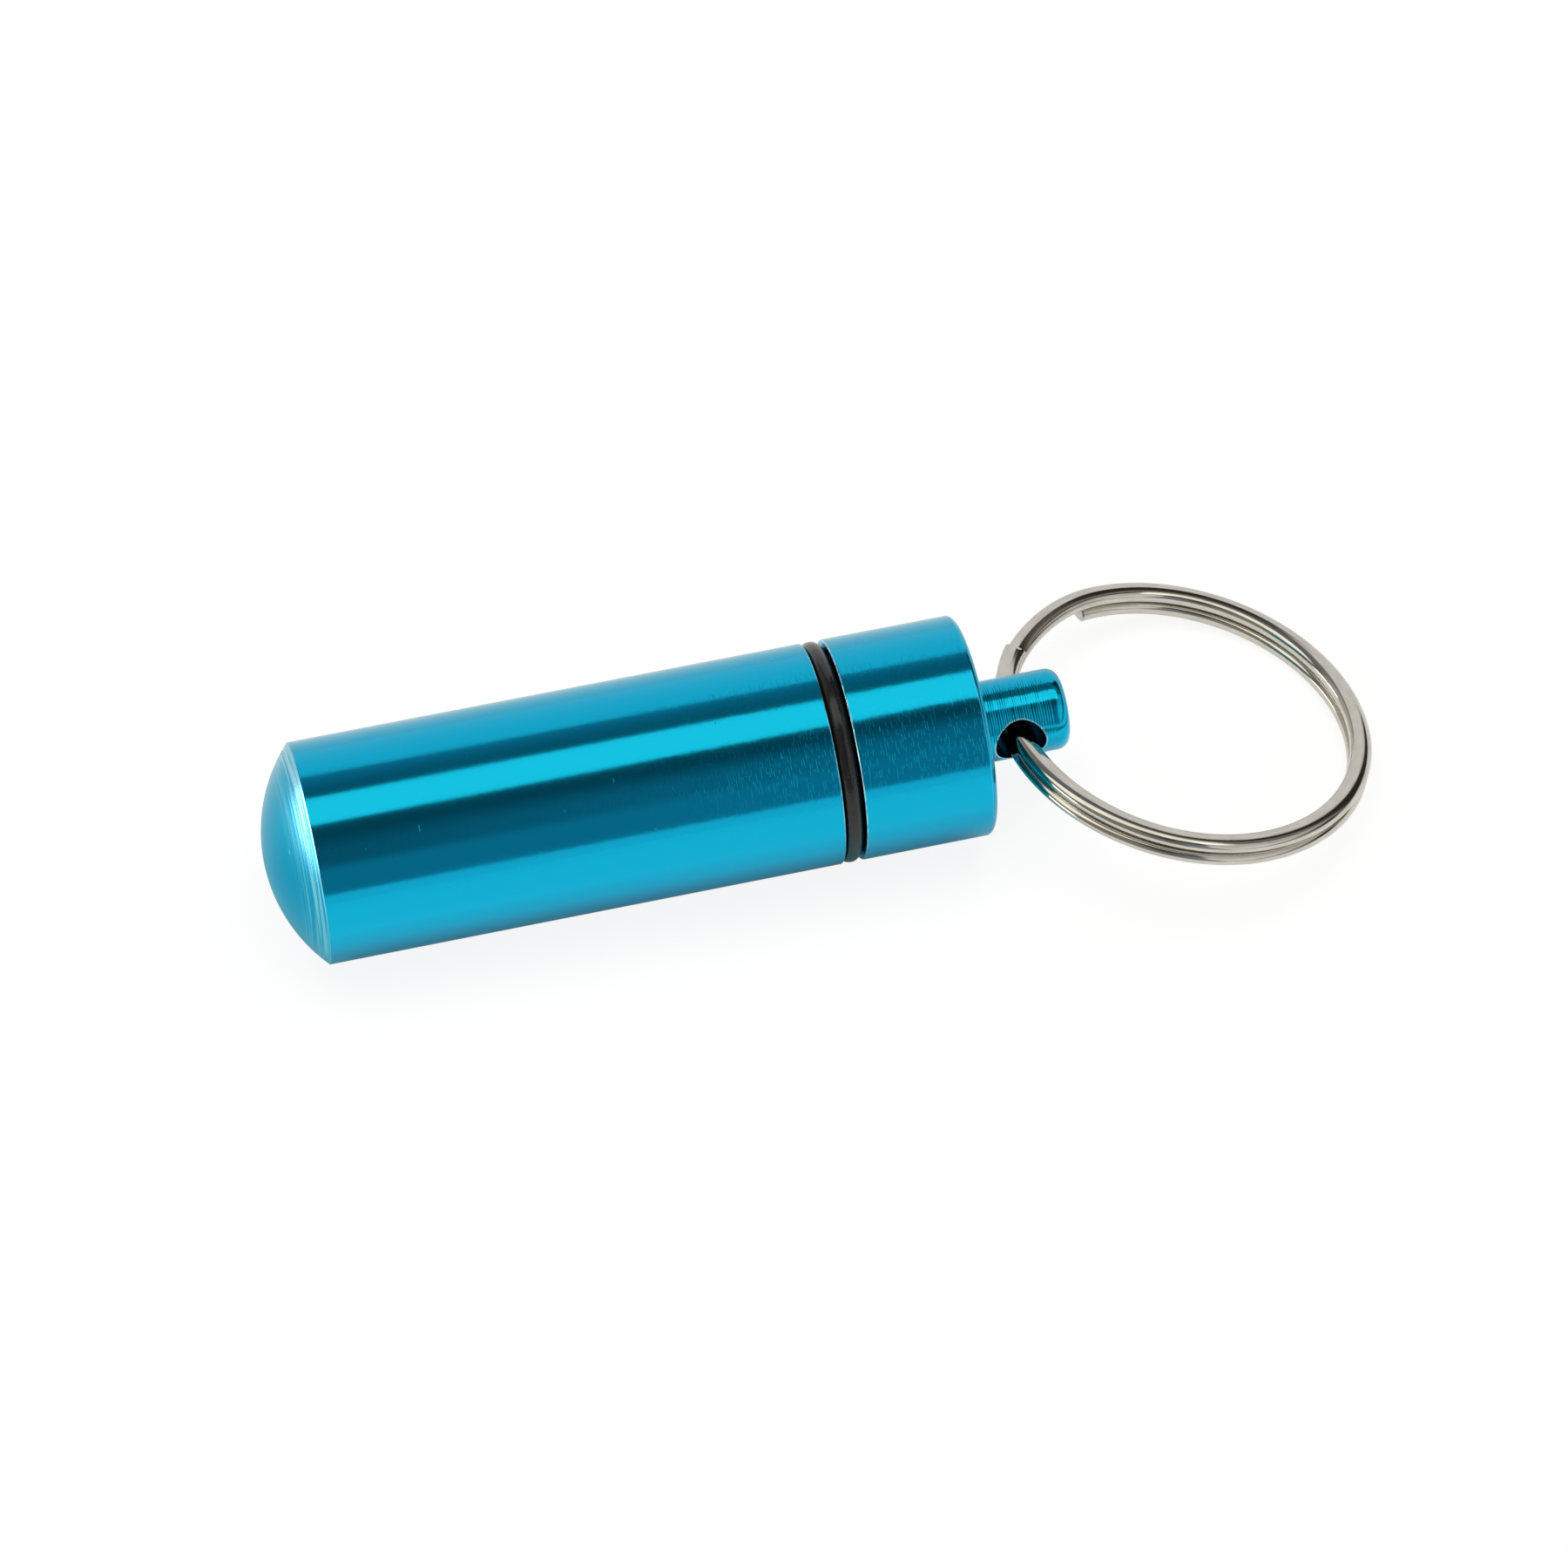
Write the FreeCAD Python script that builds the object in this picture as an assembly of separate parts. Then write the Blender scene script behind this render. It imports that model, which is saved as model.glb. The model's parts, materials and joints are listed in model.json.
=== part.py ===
import FreeCAD, Part
import math
import os

# Pill fob keychain: a turned aluminium pill capsule with a sealed screw cap, on a split key ring.
# The fob lies on its side with its axis along X, from the domed end to the key ring, and +Z is up.
# Each piece is first modelled with the canister's mouth at zero on the fob's axis. The last step moves
# the origin onto the surface that the fob lies on, under the middle of the whole object.
# Lengths are millimetres, and names that end in DEG are degrees.

# Canister
BODY_DIA = 16.0
BODY_LENGTH = 37.2
DOME_HEIGHT = 3.2
BODY_WALL = 1.55
MOUTH_WALL = 1.05
END_WALL = 2.2
DRILL_POINT_DEG = 118.0
MOUTH_EDGE = 0.15
MOUTH_LEAD = 0.3

# Seal between canister and cap, pressed a little flat on the neck and on both sides
SEAL_SECTION = 1.45
SEAL_WIDTH = 1.43
SEAL_FLAT = 0.5
SEAL_SET_BACK = 0.05
SEAL_CLEARANCE = 0.03

# Cap with its hollow threaded spigot
CAP_LENGTH = 9.63
CAP_EDGE = 0.15
CAP_ROUND = 0.55
THREAD_CLEARANCE = 0.15
THREAD_RUN_OUT = 0.6
SPIGOT_LENGTH = 6.5
SPIGOT_LEAD = 0.6
SPIGOT_END_CLEARANCE = 1.5
SPIGOT_WALL = 1.7
RECESS_FLOOR = 3.6

# Stem with the hole that the key ring goes through
STEM_DIA = 5.9
STEM_LENGTH = 6.74
STEM_ROUND = 0.9
STEM_ROOT_EDGE = 0.25
HOLE_DIA = 3.65
HOLE_FROM_CAP = 2.94
HOLE_ROLL_DEG = 9.5

# Split ring: one wire with flat faces and full sides, wound in two turns that change places at a joggle
RING_DIA = 28.0
WIRE_WIDTH = 1.85
WIRE_THICK = 0.62
WIRE_FLAT = 0.85
WIRE_SIDE = 0.24
TURN_GAP = 0.48
JOGGLE_FROM_HOLE_DEG = 31.5
JOGGLE_SPAN_DEG = 36.0
RING_SKEW_DEG = 2.4
WIRE_SAG = 0.25

# Cuts run past the faces that they open by this much
OVERRUN = 1.0

# How finely the ring's droop is found, and the gap between its turns is measured
DROOP_HALVINGS = 40
GAP_SAMPLES = 40
GAP_SEARCH_DEG = 12.0
FLAT_SHARES = (-1, -0.5, 0, 0.5, 1)

# Sizes that follow from those above
BODY_RADIUS = BODY_DIA / 2
BORE_RADIUS = BODY_RADIUS - BODY_WALL
MOUTH_RADIUS = BODY_RADIUS - MOUTH_WALL
MOUTH_DEPTH = SPIGOT_LENGTH + SPIGOT_END_CLEARANCE
SEAL_OUTER = BODY_RADIUS - SEAL_SET_BACK
SEAL_INNER = SEAL_OUTER - SEAL_SECTION
THREAD_RADIUS = MOUTH_RADIUS - THREAD_CLEARANCE
NECK_RADIUS = SEAL_INNER - SEAL_CLEARANCE
RECESS_RADIUS = NECK_RADIUS - SPIGOT_WALL
STEM_RADIUS = STEM_DIA / 2
CAP_START = SEAL_WIDTH + 2 * SEAL_CLEARANCE
CAP_FACE = CAP_START + CAP_LENGTH
STEM_TIP = CAP_FACE + STEM_LENGTH
HOLE_ALONG = CAP_FACE + HOLE_FROM_CAP
TURN_STEP = WIRE_THICK + TURN_GAP
WIRE_RADIUS = RING_DIA / 2 - WIRE_WIDTH / 2

ORIGIN = FreeCAD.Vector(0, 0, 0)
FOB_AXIS = FreeCAD.Vector(1, 0, 0)
RING_AXIS = FreeCAD.Vector(0, 0, 1)
FULL_TURN_DEG = 360.0
QUARTER_TURN_DEG = 90.0

# Directions in a turned piece's outline: along the axis, and in or out of it
BACK, INWARD = (-1, 0), (0, -1)
ROUND_MIDDLE_SHARE = 1 - math.sqrt(0.5)


def lathe(start, steps):
    """Solid turned about the fob's axis. An outline's steps are (along, radius) points, and a step of
    two points is an arc's middle and end. The last step returns to the start."""
    edges = []
    here = FreeCAD.Vector(*start, 0)
    for step in steps:
        if isinstance(step[0], tuple):
            middle = FreeCAD.Vector(*step[0], 0)
            there = FreeCAD.Vector(*step[1], 0)
            edges.append(Part.Arc(here, middle, there).toShape())
        else:
            there = FreeCAD.Vector(*step, 0)
            edges.append(Part.LineSegment(here, there).toShape())
        here = there
    return Part.Face(Part.Wire(edges)).revolve(ORIGIN, FOB_AXIS, FULL_TURN_DEG)


def round_corner(corner, before, after, radius):
    """Outline steps that round a square corner. The outline comes to it from one side, before, and
    leaves it on another, after."""
    start = tuple(c + radius * b for c, b in zip(corner, before))
    end = tuple(c + radius * a for c, a in zip(corner, after))
    middle = tuple(c + radius * ROUND_MIDDLE_SHARE * (b + a) for c, b, a in zip(corner, before, after))
    return [start, (middle, end)]


def drill_point(radius):
    """Length of the cone that a drill of this radius leaves at the bottom of its hole."""
    return radius / math.tan(math.radians(DRILL_POINT_DEG / 2))


def canister():
    """Tube with a domed end, drilled from its mouth and opened out there for the thread."""
    dome_radius = (BODY_RADIUS ** 2 + DOME_HEIGHT ** 2) / (2 * DOME_HEIGHT)
    half_dome = math.atan(DOME_HEIGHT / BODY_RADIUS)
    apex = (-BODY_LENGTH - DOME_HEIGHT, 0)
    dome_middle = (apex[0] + dome_radius * (1 - math.cos(half_dome)), dome_radius * math.sin(half_dome))
    drill_tip = apex[0] + END_WALL
    return lathe(apex, [
        (dome_middle, (-BODY_LENGTH, BODY_RADIUS)),
        (-MOUTH_EDGE, BODY_RADIUS),
        (0, BODY_RADIUS - MOUTH_EDGE),
        (0, MOUTH_RADIUS + MOUTH_LEAD),
        (-MOUTH_LEAD, MOUTH_RADIUS),
        (-MOUTH_DEPTH, MOUTH_RADIUS),
        (-MOUTH_DEPTH, BORE_RADIUS),
        (drill_tip + drill_point(BORE_RADIUS), BORE_RADIUS),
        (drill_tip, 0),
        apex,
    ])


def o_ring():
    """Rubber ring on the spigot's neck, flat there and where the canister and the cap press on it."""
    near = SEAL_CLEARANCE
    far = near + SEAL_WIDTH
    middle = (near + far) / 2
    flat_out = (SEAL_OUTER + SEAL_INNER + SEAL_FLAT) / 2
    flat_in = (SEAL_OUTER + SEAL_INNER - SEAL_FLAT) / 2
    return lathe((near, flat_in), [
        (near, flat_out),
        ((middle, SEAL_OUTER), (far, flat_out)),
        (far, flat_in),
        (middle + SEAL_FLAT / 2, SEAL_INNER),
        (middle - SEAL_FLAT / 2, SEAL_INNER),
        (near, flat_in),
    ])


def hole_direction():
    """Direction of the stem's hole, which rises towards the front because the cap is rolled a little."""
    roll = math.radians(HOLE_ROLL_DEG)
    return FreeCAD.Vector(0, -math.cos(roll), math.sin(roll))


def cap_blank():
    """Cap, stem and hollow spigot turned as one piece."""
    recess_tip = CAP_FACE - RECESS_FLOOR
    spigot_end = (-SPIGOT_LENGTH, RECESS_RADIUS)
    return lathe(spigot_end, [
        (-SPIGOT_LENGTH, THREAD_RADIUS - SPIGOT_LEAD),
        (SPIGOT_LEAD - SPIGOT_LENGTH, THREAD_RADIUS),
        (-THREAD_RUN_OUT, THREAD_RADIUS),
        (-THREAD_RUN_OUT, NECK_RADIUS),
        (CAP_START, NECK_RADIUS),
        (CAP_START, BODY_RADIUS - CAP_EDGE),
        (CAP_START + CAP_EDGE, BODY_RADIUS),
        *round_corner((CAP_FACE, BODY_RADIUS), BACK, INWARD, CAP_ROUND),
        (CAP_FACE, STEM_RADIUS + STEM_ROOT_EDGE),
        (CAP_FACE + STEM_ROOT_EDGE, STEM_RADIUS),
        *round_corner((STEM_TIP, STEM_RADIUS), BACK, INWARD, STEM_ROUND),
        (STEM_TIP, 0),
        (recess_tip, 0),
        (recess_tip - drill_point(RECESS_RADIUS), RECESS_RADIUS),
        spigot_end,
    ])


def screw_cap():
    """The turned blank with the ring's hole drilled across its stem."""
    half_drill = STEM_RADIUS + OVERRUN
    drill_start = FreeCAD.Vector(HOLE_ALONG, 0, 0) - hole_direction() * half_drill
    drill = Part.makeCylinder(HOLE_DIA / 2, 2 * half_drill, drill_start, hole_direction())
    return cap_blank().cut(drill)


def ring_outward(angle_deg):
    """Direction out from the ring's middle, at an angle counted from the stem's hole."""
    angle = math.radians(angle_deg)
    return FreeCAD.Vector(math.cos(angle), math.sin(angle), 0)


def ring_point(angle_deg, level):
    """Point of the wire's middle line, at a level above the ring's middle plane."""
    return ring_outward(angle_deg) * WIRE_RADIUS + RING_AXIS * level


def flat_turn(first_deg, last_deg, level):
    """Arcs of up to a quarter turn along a stretch of wire that lies flat."""
    count = math.ceil((last_deg - first_deg) / QUARTER_TURN_DEG)
    step = (last_deg - first_deg) / count
    arcs = []
    for index in range(count):
        begin = first_deg + index * step
        points = [ring_point(begin + share * step, level) for share in (0, 0.5, 1)]
        arcs.append(Part.Arc(*points).toShape())
    return arcs


def tangent_arc(start, corner, end):
    """Arc from start to end whose end tangents meet at the corner, equally far from both."""
    chord_middle = (start + end) * 0.5
    half_chord = (end - start).Length / 2
    rise = corner - chord_middle
    sagitta = half_chord * math.tan(math.atan(rise.Length / half_chord) / 2)
    return Part.Arc(start, chord_middle + rise * (sagitta / rise.Length), end).toShape()


def joggle(first_deg, last_deg, first_level, last_level):
    """Two arcs, smooth at both ends and where they meet, that take the wire from one level to another."""
    start = ring_point(first_deg, first_level)
    end = ring_point(last_deg, last_level)
    leave = RING_AXIS.cross(ring_outward(first_deg))
    arrive = RING_AXIS.cross(ring_outward(last_deg))
    span = end - start
    both = leave + arrive
    across = span.dot(both)
    spread = 4 - both.dot(both)
    reach = (math.sqrt(across ** 2 + spread * span.dot(span)) - across) / spread
    first_corner = start + leave * reach
    last_corner = end - arrive * reach
    meeting = (first_corner + last_corner) * 0.5
    return [tangent_arc(start, first_corner, meeting), tangent_arc(meeting, last_corner, end)]


def wire_path():
    """Upper turn, joggle down and lower turn. The wire's two ends lie at the joggle's two ends."""
    upper_start = -JOGGLE_FROM_HOLE_DEG
    lower_start = upper_start + FULL_TURN_DEG
    upper_end = lower_start - JOGGLE_SPAN_DEG
    lower_end = upper_end + FULL_TURN_DEG
    arcs = flat_turn(upper_start, upper_end, TURN_STEP / 2)
    arcs += joggle(upper_end, lower_start, TURN_STEP / 2, -TURN_STEP / 2)
    arcs += flat_turn(lower_start, lower_end, -TURN_STEP / 2)
    return arcs


def section_leans(arcs):
    """How far the wire's section leans about the wire, against the plane of each arc. The section never
    spins about the wire, so the joggle leaves it leaning, and the two turns take half of that each."""
    leans = [0.0]
    for before, after in zip(arcs, arcs[1:]):
        along = after.tangentAt(after.FirstParameter)
        first, second = before.Curve.Axis, after.Curve.Axis
        turn = math.atan2(along.dot(first.cross(second)), first.dot(second))
        leans.append(leans[-1] - turn)
    return [lean - leans[-1] / 2 for lean in leans]


def section_axes(arc, parameter, lean):
    """Up and outward directions of the wire's section at a place on one of its arcs."""
    along = arc.tangentAt(parameter)
    axis = arc.Curve.Axis
    up = axis * math.cos(lean) + along.cross(axis) * math.sin(lean)
    return up, along.cross(up)


def section_corners():
    """Corners of the wire's section, in order round it, as (outward, upward) from its middle."""
    side, half = WIRE_WIDTH / 2, WIRE_THICK / 2
    flat, edge = WIRE_FLAT / 2, WIRE_SIDE / 2
    top = [(-side, edge), (-flat, half), (flat, half), (side, edge)]
    bottom = [(outward, -upward) for outward, upward in reversed(top)]
    return top + bottom


def wire_section(arc, lean):
    """The wire's section, standing across the start of the wire's path."""
    middle = arc.valueAt(arc.FirstParameter)
    up, out = section_axes(arc, arc.FirstParameter, lean)
    corners = [middle + out * outward + up * upward for outward, upward in section_corners()]
    return Part.makePolygon(corners + corners[:1])


def split_ring():
    """The wound wire as one tube, in the ring's own plane."""
    arcs = wire_path()
    section = wire_section(arcs[0], section_leans(arcs)[0])
    return Part.Wire(arcs).makePipeShell([section], True, False)


def wire_flats():
    """Rows of points across the wire's lower and upper flats, each with the angle turned so far."""
    arcs = wire_path()
    rows = []
    turned = 0.0
    for arc, lean in zip(arcs, section_leans(arcs)):
        step = (arc.LastParameter - arc.FirstParameter) / GAP_SAMPLES
        for index in range(GAP_SAMPLES):
            place = arc.FirstParameter + index * step
            up, out = section_axes(arc, place, lean)
            across = [arc.valueAt(place) + out * (share * WIRE_FLAT / 2) for share in FLAT_SHARES]
            lower = [point - up * (WIRE_THICK / 2) for point in across]
            upper = [point + up * (WIRE_THICK / 2) for point in across]
            rows.append((turned, lower, upper))
            turned += math.degrees(arc.valueAt(place).getAngle(arc.valueAt(place + step)))
    return rows


def least_turn_gap():
    """Least gap between the wire's two turns, measured between points on the flats that face each other."""
    rows = wire_flats()
    return min(
        (point - other_point).Length
        for turned, lower, _ in rows
        for other_turned, _, upper in rows
        if abs(other_turned - turned - FULL_TURN_DEG) < GAP_SEARCH_DEG
        for point in lower
        for other_point in upper
    )


def ring_extent(cosine):
    """Half the room that the ring takes up along a direction at this cosine to the ring's own axis."""
    lean = abs(section_leans(wire_path())[0])
    sine = math.sqrt(1 - cosine ** 2)
    reaches = []
    for outward, upward in section_corners():
        radius = WIRE_RADIUS + outward * math.cos(lean) - upward * math.sin(lean)
        level = TURN_STEP / 2 + outward * math.sin(lean) + upward * math.cos(lean)
        reaches.append(radius * sine + level * abs(cosine))
    return max(reaches)


def ring_pose(droop):
    """Middle of the ring, its direction to the stem's hole and its axis, at this droop below level. The
    ring lies a little skew in the hole, and its wire a little below the hole's middle."""
    skew = math.radians(RING_SKEW_DEG)
    upright = hole_direction().cross(FOB_AXIS)
    straight_out = FOB_AXIS * math.cos(droop) - upright * math.sin(droop)
    outward = straight_out * math.cos(skew) + hole_direction() * math.sin(skew)
    axis = FOB_AXIS * math.sin(droop) + upright * math.cos(droop)
    # The wire bends inside the hole, so its bow is shared between the hole's middle and its ends
    bow = STEM_RADIUS ** 2 / (2 * WIRE_RADIUS)
    wire_in_hole = FreeCAD.Vector(HOLE_ALONG, 0, 0) - axis * WIRE_SAG
    return wire_in_hole + outward * (WIRE_RADIUS - bow / 2), outward * -1, axis


def resting_droop():
    """The angle at which the hanging ring just touches the surface that the fob lies on."""
    clear, sunk = 0.0, math.pi / 4
    for _ in range(DROOP_HALVINGS):
        droop = (clear + sunk) / 2
        middle, _, axis = ring_pose(droop)
        if middle.z - ring_extent(axis.z) > -BODY_RADIUS:
            clear = droop
        else:
            sunk = droop
    return clear


def main():
    middle, to_hole, axis = ring_pose(resting_droop())
    turn = FreeCAD.Rotation(to_hole, axis.cross(to_hole), axis, "ZXY")
    ring = split_ring()
    ring.Placement = FreeCAD.Placement(middle, turn)

    left = -BODY_LENGTH - DOME_HEIGHT
    right = middle.x + ring_extent(axis.x)
    shift = FreeCAD.Vector(-(left + right) / 2, -middle.y, BODY_RADIUS)
    pieces = {"canister": canister(), "o_ring": o_ring(), "screw_cap": screw_cap(), "split_ring": ring}
    os.makedirs("parts", exist_ok=True)
    for name, shape in pieces.items():
        shape.translate(shift)
        shape.exportStep(os.path.join("parts", name + ".step"))

    print("least gap between the ring's turns:", round(least_turn_gap(), 3), "mm")
    print("stem's hole at", FreeCAD.Vector(HOLE_ALONG, 0, 0) + shift, "along", hole_direction())
    print("ring's middle at", middle + shift, "and its axis along", axis)


main()
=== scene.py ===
import json
import math
import random

import bpy
import numpy as np
from mathutils import Matrix, Vector


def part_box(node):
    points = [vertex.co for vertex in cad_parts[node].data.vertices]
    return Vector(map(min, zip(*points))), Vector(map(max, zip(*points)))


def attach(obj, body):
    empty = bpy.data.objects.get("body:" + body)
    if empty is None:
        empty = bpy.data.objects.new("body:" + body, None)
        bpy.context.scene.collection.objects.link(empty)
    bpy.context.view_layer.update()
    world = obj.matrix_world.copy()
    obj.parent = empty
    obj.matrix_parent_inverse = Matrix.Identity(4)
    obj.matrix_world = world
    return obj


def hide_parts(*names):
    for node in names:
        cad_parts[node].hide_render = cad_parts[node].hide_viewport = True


# Pill fob keychain: a turned and anodised pill capsule with a sealed screw cap, on a split key ring.
# Lengths are millimetres until a mesh is made, and names that end in DEG are degrees. A turned piece's
# outline counts along the fob's axis from the canister's mouth, and out from that axis.

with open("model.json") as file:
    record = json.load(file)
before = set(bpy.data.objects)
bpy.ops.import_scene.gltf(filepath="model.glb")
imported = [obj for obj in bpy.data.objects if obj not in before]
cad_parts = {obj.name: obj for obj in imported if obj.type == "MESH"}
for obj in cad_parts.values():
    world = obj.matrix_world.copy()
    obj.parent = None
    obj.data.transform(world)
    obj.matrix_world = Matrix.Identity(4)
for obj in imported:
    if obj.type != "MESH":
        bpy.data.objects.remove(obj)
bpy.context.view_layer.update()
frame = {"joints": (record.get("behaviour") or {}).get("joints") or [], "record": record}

MM = 0.001
JOINTS = {joint["name"]: joint for joint in frame["joints"]}
CAP_TURN, RING_SWING = JOINTS["cap_turn"], JOINTS["ring_swing"]
KEY_LOOP = frame["record"]["mounts"][0]


def node_box(node):
    """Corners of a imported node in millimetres."""
    return [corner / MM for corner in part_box(node)]


# Sizes that the frame gives
MOUTH = Vector((node_box("canister")[1].x, CAP_TURN["pos_m"][1] / MM, CAP_TURN["pos_m"][2] / MM))
BODY_RADIUS = MOUTH.z
DOME_TIP = node_box("canister")[0].x - MOUTH.x
SPIGOT_END = node_box("screw_cap")[0].x - MOUTH.x
STEM_TIP = node_box("screw_cap")[1].x - MOUTH.x
SEAL_NEAR, SEAL_FAR = (corner.x - MOUTH.x for corner in node_box("o_ring"))
HOLE_ALONG = RING_SWING["pos_m"][0] / MM - MOUTH.x
HOLE_AXIS = Vector(RING_SWING["axis"])
RING_MIDDLE = Vector(KEY_LOOP["pos_m"]) / MM
RING_AXIS = Vector(KEY_LOOP["axis"])

# Canister
DOME_HEIGHT = 3.2
DOME_EDGE = 0.07
BORE_RADIUS = 6.45
MOUTH_DEPTH = 8.0
MOUTH_EDGE = 0.12
MOUTH_LEAD = 0.3
MOUTH_RELIEF = 1.0
END_WALL = 2.2
DRILL_POINT_DEG = 118.0

# Screw thread, right-handed, and its clearance
PITCH = 1.25
MALE_CREST = 6.8
THREAD_DEPTH = 0.45
THREAD_CLEARANCE = 0.15
THREAD_FADE = 0.5
CREST_SHARE = 0.3
FLANK_SHARE = 0.2
THREAD_STEP = 0.06

# Cap, stem and the hollow spigot inside
CAP_LENGTH = 9.63
CAP_START_EDGE = 0.17
CAP_ROUND = 0.6
CAP_ROUND_START_DEG = 20.0
STEM_LENGTH = 6.74
STEM_RADIUS = 2.95
STEM_ROUND = 0.9
STEM_ROOT = 0.25
NECK_RADIUS = 6.47
NECK_START = -0.6
RECESS_RADIUS = 4.77
RECESS_FLOOR = 3.6
SPIGOT_LEAD = 0.6
SMALL_EDGE = 0.08
HOLE_RADIUS = 1.825
HOLE_EASE = 0.12
HOLE_FLARE_DEG = 60.0

# Seal
SEAL_SECTION = 1.5
SEAL_NEAR_SQUARENESS = 2.6
SEAL_FAR_SQUARENESS = 1.75

# Split ring: a wire with narrow flats and full sides, of which the inner one is steeper, wound in two
# turns that lie against each other, with faces that lean towards the ring's middle
RING_DIA = 28.0
WIRE_WIDTH = 1.6
WIRE_FLAT = 0.12
WIRE_THICK = 1.02
WIRE_CROWN = 0.004
WIRE_OUTER_SQUARENESS = 2.0
WIRE_INNER_SQUARENESS = 2.6
WIRE_LEAN_DEG = 4.0
TURN_GAP = 0.01
END_BEVEL = 0.06
UPPER_END_DEG = -31.5
LOWER_END_DEG = -67.5
JOGGLE_FROM_DEG = -72.0
JOGGLE_TO_DEG = -22.0
END_DIP = 0.25
END_DIP_DEG = 40.0
RING_OVAL = 0.22
RING_SKEW_DEG = 2.4
RING_LIFT = 0.1
LOWER_TURN_SHIFT = 0.14

# The tool's feed marks, as (pitch, depth), the shares of these that single marks have, and the form of
# one mark, as shares of its width and depth
STEM_MARKS = (0.17, 0.027)
DOME_MARKS = (0.11, 0.006)
MARK_WIDTH_SHARES = (0.75, 1.25)
MARK_DEPTH_SHARES = (0.45, 1.0)
MARK_FORM_SHARES = ((0, 0), (0.17, 0.56), (0.5, 1), (0.83, 0.56))
DOME_MARKS_REACH = 3.2

# How finely the meshes are made
TURNED_SEGMENTS = 240
SEAL_SEGMENTS = 160
SEAL_STEPS = 56
ROUND_STEPS = 6
RIM_STEPS = 9
HOLE_SEGMENTS = 96
DOME_STEPS = 26
WIRE_STEP_DEG = 1.2
WIRE_SIDE_STEPS = 22
WIRE_FLAT_STEPS = 2
SUPPORT = 0.02
SUPPORT_PLACES = (0.02, 0.07, 0.14)
SHORTEST_SUPPORTED = 0.3
LONGEST_RUN = 2.5
SHARP_DEG = 35.0

# Sizes that follow from those above
CAP_FACE = STEM_TIP - STEM_LENGTH
CAP_START = CAP_FACE - CAP_LENGTH
BODY_EDGE = DOME_TIP + DOME_HEIGHT
FEMALE_ROOT = MALE_CREST + THREAD_CLEARANCE
MALE_ROOT = MALE_CREST - THREAD_DEPTH
WIRE_RADIUS = (RING_DIA - WIRE_WIDTH) / 2
TURN_STEP = WIRE_THICK + TURN_GAP

# A full turn, and where the seam of a turned piece lies
FULL_TURN_DEG = 360.0
SEAM_DEG = -90.0

# Colours
ANODISE_BLUE = (0.006, 0.41, 0.65, 1)
# Painted highlight: a light blue laid in streaks near the dome's edge
PAINTED_HIGHLIGHT_BLUE = (0.36, 0.72, 0.84, 1)
# Rubbed oxide and painted highlight: a light blue laid along the edges
WEAR_AND_HIGHLIGHT_BLUE = (0.68, 0.92, 0.97, 1)
# Painted shade: a dark blue that darkens the inside of the stem's hole
HOLE_PAINTED_SHADE = (0.005, 0.14, 0.2, 1)
STEEL = (0.6, 0.575, 0.525, 1)
STEEL_DULL = (0.53, 0.505, 0.455, 1)
RUBBER = (0.008, 0.008, 0.009, 1)
DUST = (0.06, 0.05, 0.042, 1)
WHITE = (1, 1, 1, 1)

# Edge marks, partly rubbed oxide and partly painted highlight: how far a mark reaches, how strong it is at
# each edge, the strengths between which it comes to show, and how noise breaks it up. The painted highlight
# round the rim of the stem's hole is counted out from the hole's radius.
EDGE_MARK_REACH = 0.2
MOUTH_WEAR_AND_HIGHLIGHT = 0.8
CAP_START_WEAR_AND_HIGHLIGHT = 1.0
CAP_RIM_WEAR_AND_HIGHLIGHT = 0.42
EDGE_MARK_SHOWS = (0.35, 0.75)
EDGE_MARK_BREAKS = (0.3, 0.6)
EDGE_MARK_LEAST = 0.2
HOLE_RIM_PAST = (0.02, 0.05, 0.1, 0.14)
HOLE_RIM_HIGHLIGHT = 0.55

# How far the brushed grain reaches from the canister's mouth, and the painted highlight streaks from the
# dome's edge
BRUSHED_REACH = 26.0
HIGHLIGHT_STREAK_REACH = 2.0

# Noise, as (bumps a millimetre along and across, detail)
RING_GRAIN = ((8.0, 1.6), 2.0)
WAVES = ((1.3, 1.0), 2.0)
SPECKLE = ((13.0, 13.0), 1.0)
PEEL = ((2.2, 2.2), 2.0)
PATCHES = ((0.12, 0.12), 2.0)
HIGHLIGHT_STREAK_NOISE = ((6.0, 0.1), 3.0)
RUBBER_GRAIN = ((7.0, 7.0), 4.0)
DUST_CLOUDS = ((0.5, 0.35), 3.0)
DRAWN_LINES = ((0.35, 14.0), 3.0)
STEEL_PATCHES = ((0.5, 1.2), 3.0)

# Scratches, as (cells a millimetre along and across, width, length, share of the cells that have one)
SHORT_TICKS = ((5.5, 2.2), 0.03, 0.45, 0.5)
NICKS = ((0.5, 0.4), 0.04, 0.25, 0.3)

# Heights of the noise and the scratches
RING_GRAIN_HEIGHT = 0.0028
SHORT_TICKS_HEIGHT = -0.004
WAVES_HEIGHT = 0.004
SPECKLE_HEIGHT = 0.0003
PEEL_HEIGHT = 0.0015
NICKS_HEIGHT = -0.012
RUBBER_GRAIN_HEIGHT = 0.002
DRAWN_LINES_HEIGHT = 0.0004

# Levels of noise that a look changes between, and the gloss of each surface
NOISE_LEVELS = (0.3, 0.7)
STREAK_LEVELS = (0.4, 0.6)
DUST_GRAIN_LEVELS = (0.55, 0.75)
DUST_CLOUD_LEVELS = (0.45, 0.7)
DULL_LEVELS = (0.35, 0.7)
ANODISE_ROUGHNESS = (0.14, 0.165)
ANODISE_ANISOTROPY = 0.5
DOME_ROUGHNESS_ADDED = 0.1
RUBBER_ROUGHNESS = (0.13, 0.2)
RUBBER_SPECULAR = 0.4
STEEL_ROUGHNESS = (0.09, 0.13)

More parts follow.
